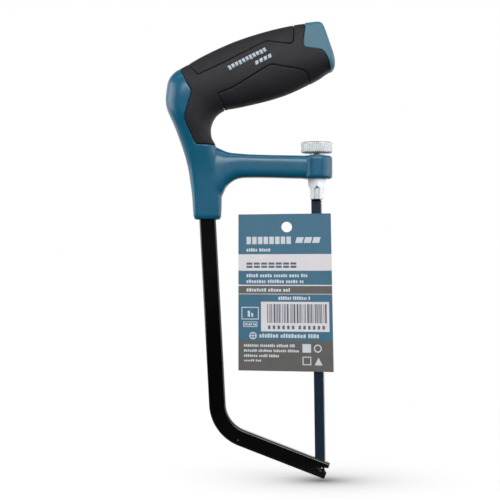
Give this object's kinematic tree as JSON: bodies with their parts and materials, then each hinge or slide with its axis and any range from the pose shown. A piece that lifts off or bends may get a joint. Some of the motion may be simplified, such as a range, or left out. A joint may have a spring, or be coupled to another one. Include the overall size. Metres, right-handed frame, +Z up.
{
  "type": "mini hacksaw",
  "caption": "Mini hacksaw: soft-grip handle above a bent square tube frame, with a tension nut, a pinned blade and a folded card tag.",
  "frame": {"origin": "middle of the bottom of the bounding box, as the saw stands on its nose with the handle on top", "axes": "+Z up from the nose to the handle, +X from the frame tube towards the blade's teeth, Y across the thickness"},
  "size_m": [0.0897, 0.0278, 0.2414],
  "materials": {
    "blue_paint": "satin blue paint on a smooth casting",
    "blue_cap": "satin blue moulding",
    "grip_black": "matt charcoal, finely textured",
    "pad_black": "matt charcoal, stippled under the fingers",
    "black_enamel": "gloss black enamel",
    "zinc_plate": "bright zinc plate",
    "pin_steel": "plain ground steel",
    "blade_blue": "dark blue lacquered spring steel",
    "card": "printed card in blue-green and warm grey bands",
    "glue": "dried adhesive strip"
  },
  "bodies": {
    "frame": {"handle_casting": "blue_paint", "end_cap": "blue_cap", "cap_pin": "pin_steel", "grip_sleeve": "grip_black", "palm_pad": "pad_black", "finger_pad": "pad_black", "frame_tube": "black_enamel", "socket_pin_lower": "pin_steel", "socket_pin_upper": "pin_steel", "thrust_washer": "zinc_plate"},
    "nut": {"thumb_nut": "zinc_plate"},
    "rod": {"tension_rod": "zinc_plate"},
    "blade_body": {"blade": "blade_blue", "upper_blade_pin": "pin_steel", "lower_blade_pin": "pin_steel"},
    "tag": {"hang_tag": "card", "tag_glue_strip": "glue"}
  },
  "joints": [
    {"name": "nut_spin", "type": "hinge", "parent": "frame", "child": "nut", "pos_m": [0.0354, 0, 0.174], "axis": [0, 0, 1], "range_deg": [0, 1800]},
    {"name": "rod_slide", "type": "slide", "parent": "frame", "child": "rod", "axis": [0, 0, -1], "range_m": [0, 0.004]},
    {"name": "blade_swing", "type": "hinge", "parent": "rod", "child": "blade_body", "pos_m": [0.03495, 0, 0.1497], "axis": [0, -1, 0], "range_deg": [0, 9.2]},
    {"name": "tag_slide", "type": "slide", "parent": "blade_body", "child": "tag", "axis": [-0.0142, 0, 0.9999], "range_m": [-0.022, 0.005]}
  ],
  "couplings": [
    {"joint": "rod_slide", "follows": "nut_spin", "m_per_rad": 0.00012732},
    {"joint": "blade_swing", "follows": "nut_spin", "ratio": 0.0051082}
  ]
}
